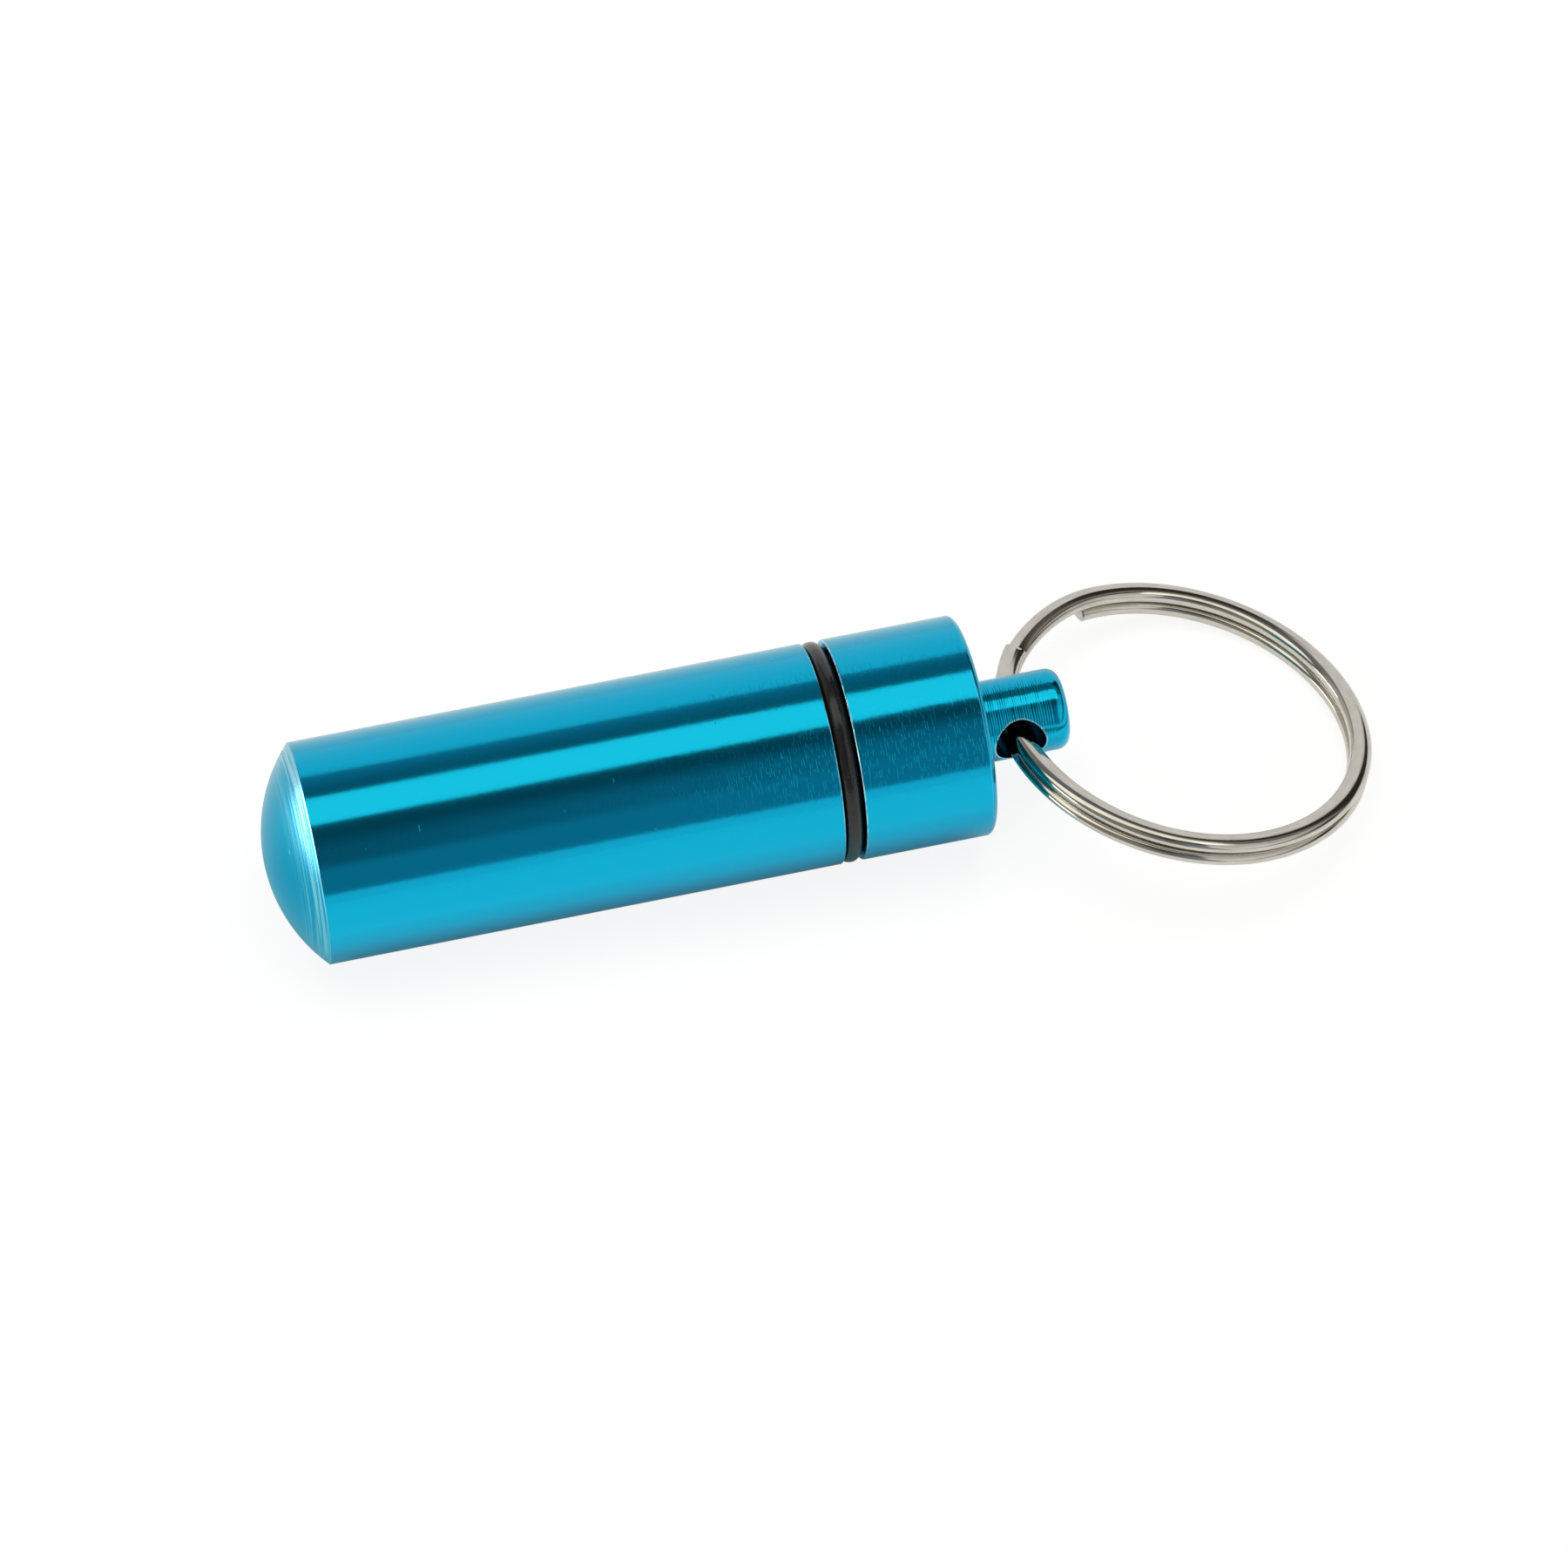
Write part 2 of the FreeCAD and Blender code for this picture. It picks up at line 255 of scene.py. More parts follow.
# Stage: a round paper floor and a paper wall around it, which is highest towards BACK_TURN_DEG
STAGE_REACH = 1500.0
STAGE_SEGMENTS = 144
FRONT_RISE_DEG = 9.5
BACK_RISE_DEG = 43.0
BACK_TURN_DEG = 74.5
BACK_SPREAD_DEG = 32.0
PLAIN_PAPER = (0.8, 0.8, 0.8, 1)
WALL_MIRRORED = 0.9

# Floor: what the camera and the metal see of it, and the distances over which that changes: out from the
# middle, to the left, and round the place where the fob lies. In the metal the floor has painted shade,
# tinted blue near the fob and grey behind it.
SEEN_LIT = (0.14, 0.14, 0.14, 1)
SEEN_GLOW = 0.88
MIRRORED_GLOW = 0.09
GLOW_SPAN = (120.0, 350.0)
LEFT_GLOW = 1.6
LEFT_SPAN = (-70.0, -300.0)
CONTACT_PAINTED_SHADE = (0.35, 0.68, 0.72, 1)
CONTACT_FRONT_SPAN = (-7.0, -17.0)
CONTACT_RIGHT_SPAN = (8.0, 16.0)
BEHIND_PAINTED_SHADE = (0.82, 0.82, 0.82, 1)
BEHIND_SPAN = (4.0, 22.0)

# Softbox above the fob, between two angles from the floor in front, and a fill
SOFTBOX_HEIGHT = 800.0
SOFTBOX_LEFT, SOFTBOX_RIGHT = -750.0, 560.0
SOFTBOX_FRONT_DEG = 82.5
SOFTBOX_BACK_DEG = 111.5
SOFTBOX_RADIANCE = 1.24
SOFTBOX_COLOUR = (1, 1, 0.87)
FILL_HEIGHT = 900.0
FILL_SIZE = 700.0
FILL_RADIANCE = 2.3
# Lamps at the sides, as (name, middle, size, radiance, turn about Y in degrees)
SIDE_LAMPS = (
    ("left_key", (-900.0, 150.0, 140.0), (220.0, 1000.0), 4.0, -90.0),
    ("right_panel", (500.0, -600.0, 665.0), (870.0, 1400.0), 0.62, 90.0),
)

# Room: its level low in front, and for each zone from there over the top to low behind, the angles between
# which the zone begins, its two levels, and the shares of sideways direction that those are for
ROOM_FRONT = 0.31
ROOM_MIDDLE_DEG = (34.0, 42.0)
ROOM_MIDDLE = (0.28, 0.1)
ROOM_MIDDLE_SIDES = (0.12, 0.06)
ROOM_HIGH_DEG = (54.0, 70.0)
ROOM_HIGH = (0.09, 0.03)
ROOM_HIGH_SIDES = (0.25, 0.4)
ROOM_BACK_DEG = (108.0, 116.0)
ROOM_BACK = (0.16, 0.3)
ROOM_LOW_BACK_DEG = (119.0, 133.0)
ROOM_LOW_BACK = (0.27, 0.03)
ROOM_BACK_SIDES = (0.2, 0.4)
# The room's least levels on the left, in front and low behind
ROOM_LEFT_FRONT = (0.0, 0.27)
ROOM_LEFT_FRONT_SIDES = (-0.05, -0.15)
ROOM_LEFT_BACK = (0.0, 0.5)
ROOM_LEFT_BACK_SIDES = (0.0, -0.25)
# The room's colour in the middle and at its sides
ROOM_COLOUR = (0.92, 1, 1.16, 1)
ROOM_SIDE_COLOUR = (1.06, 1, 0.88, 1)
ROOM_LEFT_COLOUR_SIDES = (0.0, -0.1)
ROOM_RIGHT_COLOUR_SIDES = (0.25, 0.4)

# Camera, fitted to the photograph
CAMERA_AZIMUTH_DEG = -13.356
CAMERA_ELEVATION_DEG = 55.25
CAMERA_DISTANCE = 522.5
CAMERA_NEAR = CAMERA_DISTANCE / 10
CAMERA_AIM_RIGHT = -2.588
CAMERA_AIM_UP = 2.407
CAMERA_LENS = 166.0
CAMERA_SENSOR = 36.0


def smooth_share(share):
    """Share from 0 to 1 with a soft start and end."""
    share = np.clip(share, 0, 1)
    return share * share * (3 - 2 * share)


def squarish(angle, squareness):
    """Point at an angle of an outline that is a unit circle at a squareness of 2, and squarer above."""
    parts = (math.cos(angle), math.sin(angle))
    return [math.copysign(abs(part) ** (2 / squareness), part) for part in parts]


def drill_point(radius):
    """Length of the cone that a drill of this radius leaves at the bottom of its hole."""
    return radius / math.tan(math.radians(DRILL_POINT_DEG / 2))


def rounded(corners):
    """Outline points through corners of (along, radius, rounding), with each rounding as a short arc."""
    points = []
    for index, (along, radius, rounding) in enumerate(corners):
        here = Vector((along, radius))
        if not rounding:
            points.append(here)
            continue
        before = (Vector(corners[index - 1][:2]) - here).normalized()
        after = (Vector(corners[index + 1][:2]) - here).normalized()
        half = before.angle(after) / 2
        centre = here + (before + after).normalized() * (rounding / math.sin(half))
        first = here + before * (rounding / math.tan(half)) - centre
        last = here + after * (rounding / math.tan(half)) - centre
        sweep = math.atan2(first.cross(last), first.dot(last))
        for step in range(ROUND_STEPS + 1):
            points.append(centre + Matrix.Rotation(sweep * step / ROUND_STEPS, 2) @ first)
    return points


def supported(points):
    """The outline with extra points near the ends of its straight runs, and along the long ones."""
    result = points[:1]
    for before, after in zip(points, points[1:]):
        run = after - before
        if run.length > SHORTEST_SUPPORTED:
            inner = [place for place in SUPPORT_PLACES if place < run.length / 2]
            count = math.ceil(run.length / LONGEST_RUN)
            places = inner + [run.length * step / count for step in range(1, count)]
            places += [run.length - place for place in reversed(inner)]
            result += [before + run * (place / run.length) for place in places]
        result.append(after)
    return result


def tool_marks(first, last, marks, seed):
    """Places along a turned stretch with the depth of the tool's marks, hollows between sharp ridges."""
    pitch, depth = marks
    pick = random.Random(seed)
    rows = []
    place = first
    while place + 2 * pitch < last:
        width = pitch * pick.uniform(*MARK_WIDTH_SHARES)
        cut = depth * pick.uniform(*MARK_DEPTH_SHARES)
        rows += [(place + width * share, cut * depth_share) for share, depth_share in MARK_FORM_SHARES]
        place += width
    return rows


def new_object(name, vertices, faces, uvs, material):
    """Mesh object of these vertices in millimetres, shaded smooth."""
    mesh = bpy.data.meshes.new(name)
    mesh.from_pydata(np.asarray(vertices) * MM, [], faces)
    layer = mesh.uv_layers.new(name="surface")
    layer.data.foreach_set("uv", np.asarray(uvs, np.float32).ravel())
    mesh.polygons.foreach_set("use_smooth", [True] * len(mesh.polygons))
    mesh.materials.append(material)
    mesh.update()
    piece = bpy.data.objects.new(name, mesh)
    bpy.context.scene.collection.objects.link(piece)
    return piece


def grid_faces(rows, columns):
    """Quads of a tube of vertices, row by row, as (row, column) corners. The column after the last one is
    the first again."""
    for row in range(rows - 1):
        for column in range(columns):
            yield (row, column), (row, column + 1), (row + 1, column + 1), (row + 1, column)


def lathe(name, points, material, segments=TURNED_SEGMENTS, relief=None):
    """Piece turned about the fob's axis. An outline point on the axis is one vertex. Relief changes the
    radius by the angle and the place along."""
    along = np.array([point[0] for point in points])[:, None]
    radius = np.array([point[1] for point in points])[:, None]
    turn = math.radians(SEAM_DEG) + np.linspace(0, 2 * math.pi, segments, endpoint=False)[None, :]
    radii = np.repeat(radius, segments, axis=1)
    if relief is not None:
        radii = relief(turn, along, radii)
    length = np.cumsum([0] + [(b - a).length for a, b in zip(points, points[1:])])
    vertices, index = [], []
    for row in range(len(points)):
        places = segments if radius[row, 0] > 0 else 1
        for column in range(places):
            out = radii[row, column]
            angle = turn[0, column]
            vertices.append(MOUTH + Vector((along[row, 0], out * math.cos(angle), out * math.sin(angle))))
        first = len(vertices) - places
        index.append([first + column % places for column in range(segments + 1)])
    faces, uvs = [], []
    round_step = 2 * math.pi * BODY_RADIUS / segments
    for corners in grid_faces(len(points), segments):
        corner_at = {}
        for row, column in corners:
            corner_at.setdefault(index[row][column], (length[row], column * round_step))
        if len(corner_at) > 2:
            faces.append(list(corner_at))
            uvs += corner_at.values()
    return new_object(name, vertices, faces, uvs, material)


def store(piece, name, values):
    """Keeps one number for each vertex of a piece, for its material to read."""
    attribute = piece.data.attributes.new(name, "FLOAT", "POINT")
    attribute.data.foreach_set("value", np.asarray(values, np.float32))


def places_along(piece):
    """Where each vertex of a piece lies along the fob's axis."""
    return np.array([vertex.co.x / MM - MOUTH.x for vertex in piece.data.vertices])


def edge_wear_and_highlight(piece, edges):
    """How near each vertex is to the marked edges, given as (along, radius, strength) of the outline. The
    marks are rubbed oxide and painted highlight.
    """
    wear_and_highlight = np.zeros(len(piece.data.vertices))
    for number, vertex in enumerate(piece.data.vertices):
        place = vertex.co / MM - MOUTH
        out = math.hypot(place.y, place.z)
        for along, radius, strength in edges:
            apart = math.hypot(place.x - along, out - radius)
            wear_and_highlight[number] = max(wear_and_highlight[number], strength * (1 - apart / EDGE_MARK_REACH))
    return wear_and_highlight


def thread_share(turn, along):
    """How high the male thread stands at a place, from 0 at its root to 1 at its crest."""
    phase = along / PITCH - turn / (2 * math.pi)
    from_crest = np.abs((phase + 0.5) % 1 - 0.5)
    return np.clip((CREST_SHARE / 2 + FLANK_SHARE - from_crest) / FLANK_SHARE, 0, 1)


def thread_rows(first, last):
    """Evenly spaced places along a threaded stretch, without its ends."""
    count = round(abs(last - first) / THREAD_STEP)
    return [first + (last - first) * step / count for step in range(1, count)]


def female_thread(turn, along, radii):
    """The mouth's thread, which the lead cuts away at the front and the relief groove ends inside."""
    relief_start = MOUTH_RELIEF - MOUTH_DEPTH
    crest = FEMALE_ROOT - THREAD_DEPTH
    cut = crest + THREAD_DEPTH * thread_share(turn, along)
    ending = smooth_share((relief_start + THREAD_FADE - along) / THREAD_FADE)
    cut = cut + (FEMALE_ROOT - cut) * ending
    lead = FEMALE_ROOT + MOUTH_LEAD + along
    cut = np.maximum(cut, lead)
    inside = (along < 0) & (along > relief_start) & (radii < FEMALE_ROOT + MOUTH_LEAD)
    inside = inside & (radii > FEMALE_ROOT - SUPPORT)
    return np.where(inside, cut, radii)


def male_thread(turn, along, radii):
    """The spigot's thread, cut down by the lead at its end and fading out at the neck."""
    cut = MALE_ROOT + THREAD_DEPTH * thread_share(turn, along)
    ending = smooth_share((along - NECK_START + THREAD_FADE) / THREAD_FADE)
    cut = cut + (NECK_RADIUS - cut) * ending
    lead = MALE_CREST - SPIGOT_LEAD + (along - SPIGOT_END)
    cut = np.minimum(cut, lead)
    inside = (along > SPIGOT_END) & (along < NECK_START) & (radii > RECESS_RADIUS + SUPPORT)
    return np.where(inside, cut, radii)


def dome_points():
    """The dome from its tip to its edge, with the tool's fine rings near the edge."""
    sphere = (BODY_RADIUS ** 2 + DOME_HEIGHT ** 2) / (2 * DOME_HEIGHT)
    reach = sphere * math.asin(BODY_RADIUS / sphere)
    rings_start = reach - DOME_MARKS_REACH
    rows = [(rings_start * step / DOME_STEPS, 0) for step in range(DOME_STEPS + 1)]
    for place, depth in tool_marks(rings_start, reach, DOME_MARKS, "dome"):
        rows.append((place, depth * smooth_share((place - rings_start) / DOME_MARKS_REACH)))
    points = []
    for place, depth in rows:
        angle = place / sphere
        out = sphere - depth
        points.append((DOME_TIP + sphere - out * math.cos(angle), out * math.sin(angle), 0))
    return points


def canister(material):
    """Tube with a domed end, drilled from its mouth, which has the screw thread."""
    drill_tip = DOME_TIP + END_WALL
    thread = [(along, FEMALE_ROOT, 0) for along in thread_rows(0, MOUTH_RELIEF - MOUTH_DEPTH)]
    points = rounded([
        *dome_points(),
        (BODY_EDGE, BODY_RADIUS, DOME_EDGE),
        (0, BODY_RADIUS, MOUTH_EDGE),
        (0, FEMALE_ROOT + MOUTH_LEAD, 0),
        *thread,
        (MOUTH_RELIEF - MOUTH_DEPTH, FEMALE_ROOT, 0),
        (-MOUTH_DEPTH, FEMALE_ROOT, 0),
        (-MOUTH_DEPTH, BORE_RADIUS, SMALL_EDGE),
        (drill_tip + drill_point(BORE_RADIUS), BORE_RADIUS, 0),
        (drill_tip, 0, 0),
    ])
    piece = lathe("canister_shell", supported(points), material, relief=female_thread)
    piece.data.set_sharp_from_angle(angle=math.radians(SHARP_DEG))
    store(piece, "wear_and_highlight", edge_wear_and_highlight(piece, [(0, BODY_RADIUS, MOUTH_WEAR_AND_HIGHLIGHT)]))
    along = places_along(piece)
    on_dome = along < BODY_EDGE - SUPPORT
    store(piece, "satin", np.where(on_dome, 1.0, 0.0))
    # Painted highlight streaks near the dome's edge
    store(piece, "dome_highlight_streaks", np.where(on_dome, smooth_share(1 - (BODY_EDGE - along) / HIGHLIGHT_STREAK_REACH), 0.0))
    store(piece, "brushed", np.where(along < BODY_EDGE, 0.0, smooth_share(1 + along / BRUSHED_REACH)))
    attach(piece, "canister")
    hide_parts("canister")


def cap_rim():
    """Round edge of the cap's face, which starts at a crisp line on the cap's side."""
    start = math.radians(CAP_ROUND_START_DEG)
    along = CAP_FACE - CAP_ROUND
    out = BODY_RADIUS - CAP_ROUND * math.cos(start)
    points = []
    for step in range(RIM_STEPS + 1):
        angle = start + (math.pi / 2 - start) * step / RIM_STEPS
        points.append((along + CAP_ROUND * math.sin(angle), out + CAP_ROUND * math.cos(angle), 0))
    return points


def cap_blank(material):
    """Cap, stem and hollow spigot turned as one piece, before the ring's hole is drilled."""
    recess_tip = CAP_FACE - RECESS_FLOOR
    stem_start = CAP_FACE + STEM_ROOT
    stem_end = STEM_TIP - STEM_ROUND
    marks = tool_marks(stem_start, stem_end, STEM_MARKS, "stem")
    thread = [(along, MALE_CREST, 0) for along in thread_rows(SPIGOT_END, NECK_START)]
    points = rounded([
        (recess_tip, 0, 0),
        (recess_tip - drill_point(RECESS_RADIUS), RECESS_RADIUS, 0),
        (SPIGOT_END, RECESS_RADIUS, SMALL_EDGE),
        (SPIGOT_END, MALE_CREST - SPIGOT_LEAD, 0),
        *thread,
        (NECK_START, NECK_RADIUS, 0),
        (CAP_START, NECK_RADIUS, SMALL_EDGE),
        (CAP_START, BODY_RADIUS, CAP_START_EDGE),
        *cap_rim(),
        (CAP_FACE, STEM_RADIUS, STEM_ROOT),
        *[(along, STEM_RADIUS - depth, 0) for along, depth in marks],
        (STEM_TIP, STEM_RADIUS, STEM_ROUND),
        (STEM_TIP, 0, 0),
    ])
    return lathe("cap", supported(points), material, relief=male_thread)


def hole_cutter():
    """Drill for the ring's hole, flared where it leaves the stem so that the hole's rim is eased."""
    side = HOLE_AXIS.cross(Vector((1, 0, 0)))
    centre = MOUTH + Vector((HOLE_ALONG, 0, 0))
    stations = [(-1, step) for step in reversed(range(ROUND_STEPS + 2))]
    stations += [(1, step) for step in range(ROUND_STEPS + 2)]
    vertices, spots = [], []
    for end, step in stations:
        flare = math.radians(HOLE_FLARE_DEG) * min(step, ROUND_STEPS) / ROUND_STEPS
        wide = HOLE_RADIUS + HOLE_EASE * (1 - math.cos(flare))
        for column in range(HOLE_SEGMENTS):
            angle = 2 * math.pi * column / HOLE_SEGMENTS
            across, aside = wide * math.cos(angle), wide * math.sin(angle)
            depth = math.sqrt(STEM_RADIUS ** 2 - aside ** 2) - HOLE_EASE * (1 - math.sin(flare))
            if step > ROUND_STEPS:
                depth = 2 * STEM_RADIUS
            vertices.append(centre + Vector((across, 0, 0)) + side * aside + HOLE_AXIS * depth * end)
            spots.append((depth * end, angle * HOLE_RADIUS))
    faces = []
    for corners in grid_faces(len(stations), HOLE_SEGMENTS):
        faces.append([row * HOLE_SEGMENTS + column % HOLE_SEGMENTS for row, column in corners])
    first_ring = list(range(HOLE_SEGMENTS))
    last_ring = range(len(vertices) - HOLE_SEGMENTS, len(vertices))
    faces += [first_ring[::-1], list(last_ring)]
    uvs = [spots[corner] for face in faces for corner in face]
    return new_object("hole_cutter", vertices, faces, uvs, None)


def screw_cap(material):
    """The turned cap with the ring's hole drilled across its stem."""
    piece = cap_blank(material)
    cutter = hole_cutter()
    drill = piece.modifiers.new("drill", "BOOLEAN")
    drill.object = cutter
    drill.operation = "DIFFERENCE"
    drill.solver = "EXACT"
    drilled = piece.evaluated_get(bpy.context.evaluated_depsgraph_get())
    piece.data = bpy.data.meshes.new_from_object(drilled)
    piece.modifiers.clear()
    bpy.data.objects.remove(cutter)
    piece.data.set_sharp_from_angle(angle=math.radians(SHARP_DEG))
    rim_along, rim_radius, _ = cap_rim()[0]
    marked_edges = [(CAP_START, BODY_RADIUS, CAP_START_WEAR_AND_HIGHLIGHT), (rim_along, rim_radius, CAP_RIM_WEAR_AND_HIGHLIGHT)]
    store(piece, "wear_and_highlight", edge_wear_and_highlight(piece, marked_edges))
    store(piece, "brushed", np.where(places_along(piece) < CAP_FACE, 1.0, 0.0))
    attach(piece, "cap")
    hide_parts("screw_cap")


def seal(material):
    """Rubber ring with a nearly round section, squarer on the side that the canister presses on."""
    middle = Vector(((SEAL_NEAR + SEAL_FAR) / 2, BODY_RADIUS - SEAL_SECTION / 2))
    points = []
    for step in range(SEAL_STEPS + 1):
        angle = 2 * math.pi * step / SEAL_STEPS
        squareness = SEAL_NEAR_SQUARENESS if math.cos(angle) > 0 else SEAL_FAR_SQUARENESS
        across, out = squarish(angle, squareness)
        points.append(middle + Vector((-across * (SEAL_FAR - SEAL_NEAR), out * SEAL_SECTION)) / 2)
    piece = lathe("seal_ring", points, material, SEAL_SEGMENTS)
    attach(piece, "seal")
    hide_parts("o_ring")


def wire_section():
    """The wire's section as (outward, up) points: slightly crowned flats between full sides."""
    half = WIRE_THICK / 2
    flat = WIRE_FLAT / 2
    side_reach = (WIRE_WIDTH - WIRE_FLAT) / 2
    points = []
    for side, squareness in ((1, WIRE_OUTER_SQUARENESS), (-1, WIRE_INNER_SQUARENESS)):
        for step in range(WIRE_FLAT_STEPS):
            share = 1 - 2 * (step + 0.5) / WIRE_FLAT_STEPS
            points.append((-side * share * flat, side * (half - WIRE_CROWN * share * share)))
        for step in range(WIRE_SIDE_STEPS + 1):
            reach, rise = squarish(math.pi * (0.5 - step / WIRE_SIDE_STEPS), squareness)
            points.append((side * (flat + side_reach * reach), side * rise * (half - WIRE_CROWN)))
    return points


def joggled(angle_deg):
    """How far the wire has passed from the upper turn, at 0, to the lower one, at 1."""
    past = angle_deg - FULL_TURN_DEG - JOGGLE_FROM_DEG
    return smooth_share(past / (JOGGLE_TO_DEG - JOGGLE_FROM_DEG))


def wire_level(angle_deg):
    """Height of the wire's middle line above the ring's middle plane. It falls by one turn at the joggle,
    and the upper end dips."""
    dip = END_DIP * (1 - smooth_share((angle_deg - UPPER_END_DEG) / END_DIP_DEG))
    return RING_LIFT + TURN_STEP * (0.5 - joggled(angle_deg)) - dip


def end_cut(angle_deg):
    """How much of the upper end is cut away below, where the turn under it leaves no room."""
    if angle_deg > UPPER_END_DEG + END_DIP_DEG:
        return 0.0
    return max(0.0, wire_level(angle_deg + FULL_TURN_DEG) + TURN_STEP - wire_level(angle_deg))


def ring_directions():
    """Directions from the ring's middle to the stem's hole, and square to that in the ring's plane."""
    straight_out = HOLE_AXIS.cross(RING_AXIS).normalized()
    straight_out *= math.copysign(1, straight_out.x)
    skew = math.radians(RING_SKEW_DEG)
    to_hole = -(straight_out * math.cos(skew) + HOLE_AXIS * math.sin(skew))
    return to_hole, RING_AXIS.cross(to_hole)


def wire_stations():
    """Places along the wire from its upper end to its lower one, as (angle in degrees, section's scale)."""
    last = LOWER_END_DEG + 2 * FULL_TURN_DEG
    count = round((last - UPPER_END_DEG) / WIRE_STEP_DEG)
    angles = [UPPER_END_DEG + (last - UPPER_END_DEG) * step / count for step in range(count + 1)]
    bevel_deg = math.degrees(END_BEVEL / WIRE_RADIUS)
    end_scale = 1 - 2 * END_BEVEL / WIRE_THICK
    stations = [(angles[0], end_scale), (angles[0] + bevel_deg, 1)]
    stations += [(angle, 1) for angle in angles[1:-1]]
    stations += [(angles[-1] - bevel_deg, 1), (angles[-1], end_scale)]
    return stations


def placed_section(section, angle_deg, scale):
    """The section's points where the wire is at this angle round the ring."""
    to_hole, sideways = ring_directions()
    angle = math.radians(angle_deg)
    outward = to_hole * math.cos(angle) + sideways * math.sin(angle)
    cut = end_cut(angle_deg)
    squeeze = 1 - cut / WIRE_THICK
    radius = WIRE_RADIUS - RING_OVAL * max(0.0, math.cos(angle)) ** 2
    middle = RING_MIDDLE + outward * radius + RING_AXIS * (wire_level(angle_deg) + cut / 2)
    middle += sideways * (LOWER_TURN_SHIFT * joggled(angle_deg))
    rise = wire_level(angle_deg + WIRE_STEP_DEG / 2) - wire_level(angle_deg - WIRE_STEP_DEG / 2)
    along = RING_AXIS.cross(outward) * (WIRE_RADIUS * math.radians(WIRE_STEP_DEG)) + RING_AXIS * rise
    up = along.cross(outward).normalized()
    up *= math.copysign(1, up.dot(RING_AXIS))
    lean = math.radians(WIRE_LEAN_DEG)
    out_axis = outward * math.cos(lean) + up * math.sin(lean)
    up_axis = up * math.cos(lean) - outward * math.sin(lean)
    return [middle + out_axis * out * scale + up_axis * above * scale * squeeze for out, above in section]


def split_ring(material):
    """The wound wire, with its two cut ends closed by slightly bevelled faces."""
    section = wire_section()
    stations = wire_stations()
    columns = len(section)
    around = np.cumsum([0] + [math.dist(a, b) for a, b in zip(section, section[1:] + section[:1])])
    vertices, faces, uvs = [], [], []
    for angle_deg, scale in stations:
        vertices += placed_section(section, angle_deg, scale)
    for corners in grid_faces(len(stations), columns):
        faces.append([row * columns + column % columns for row, column in corners])
        uvs += [(math.radians(stations[row][0]) * WIRE_RADIUS, around[column]) for row, column in corners]
    first_end = list(range(columns))
    last_end = list(range(len(vertices) - columns, len(vertices)))
    faces += [first_end[::-1], last_end]
    uvs += section[::-1] + section
    piece = new_object("key_ring", vertices, faces, uvs, material)
    piece.data.set_sharp_from_angle(angle=math.radians(SHARP_DEG))
    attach(piece, "ring")
    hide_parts("split_ring")


def new_material(name):
    """Material with its node tree and its main shader."""
    material = bpy.data.materials.new(name)
    material.use_nodes = True
    tree = material.node_tree
    return material, tree, tree.nodes["Principled BSDF"]


def add(tree, kind, inputs=None, **settings):
    """New node. An input is a value, or another node's output to link."""
    node = tree.nodes.new(kind)
    for name, value in settings.items():
        setattr(node, name, value)
    for socket, value in (inputs or {}).items():
        if isinstance(value, bpy.types.NodeSocket):
            tree.links.new(value, node.inputs[socket])
        else:
            node.inputs[socket].default_value = value
    return node


def maths(tree, operation, *values):
    """Output of a maths node."""
    return add(tree, "ShaderNodeMath", dict(enumerate(values)), operation=operation).outputs[0]


def vectors(tree, operation, *values):
    """Outputs of a vector maths node."""
    return add(tree, "ShaderNodeVectorMath", dict(enumerate(values)), operation=operation).outputs


def stretched(tree, vector, per_mm):
    """A surface place in millimetres, scaled along and across."""
    return vectors(tree, "MULTIPLY", vector, (*per_mm, 1))["Vector"]


def noise(tree, vector, per_mm, detail):
    """Noise from 0 to 1 with this many bumps a millimetre, along and across."""
    inputs = {"Vector": stretched(tree, vector, per_mm), "Scale": 1.0, "Detail": detail}
    return add(tree, "ShaderNodeTexNoise", inputs, noise_dimensions="2D").outputs["Fac"]


def ranged(tree, value, low, high, to_low=0.0, to_high=1.0):
    """Value taken from one range to another, held at its ends."""
    inputs = {"Value": value, "From Min": low, "From Max": high, "To Min": to_low, "To Max": to_high}
    return add(tree, "ShaderNodeMapRange", inputs).outputs["Result"]


def blended(tree, share, first, second):
    """Colour between two others."""
    mix = add(tree, "ShaderNodeMix", {0: share, 6: first, 7: second}, data_type="RGBA")
    return mix.outputs[2]


def ticks(tree, vector, per_mm, width, length, kept):
    """Mask of short scratches across, at most one in each cell of a loose pattern."""
    place = stretched(tree, vector, per_mm)
    cell = add(tree, "ShaderNodeTexVoronoi", {"Vector": place, "Scale": 1.0}, voronoi_dimensions="2D")
    apart = vectors(tree, "SUBTRACT", place, cell.outputs["Position"])["Vector"]
    split = add(tree, "ShaderNodeSeparateXYZ", {0: apart})
    chance = add(tree, "ShaderNodeSeparateColor", {0: cell.outputs["Color"]})
    thin = ranged(tree, maths(tree, "ABSOLUTE", split.outputs[0]), width * per_mm[0], 0.0)
    reach = maths(tree, "MULTIPLY", chance.outputs[1], length * per_mm[1])
    short = maths(tree, "LESS_THAN", maths(tree, "ABSOLUTE", split.outputs[1]), reach)
    chosen = maths(tree, "LESS_THAN", chance.outputs[0], kept)
    return maths(tree, "MULTIPLY", maths(tree, "MULTIPLY", thin, short), chosen)


def surface_place(tree):
    """Place on a piece's surface in millimetres, along and around it."""
    return add(tree, "ShaderNodeUVMap", uv_map="surface").outputs[0]


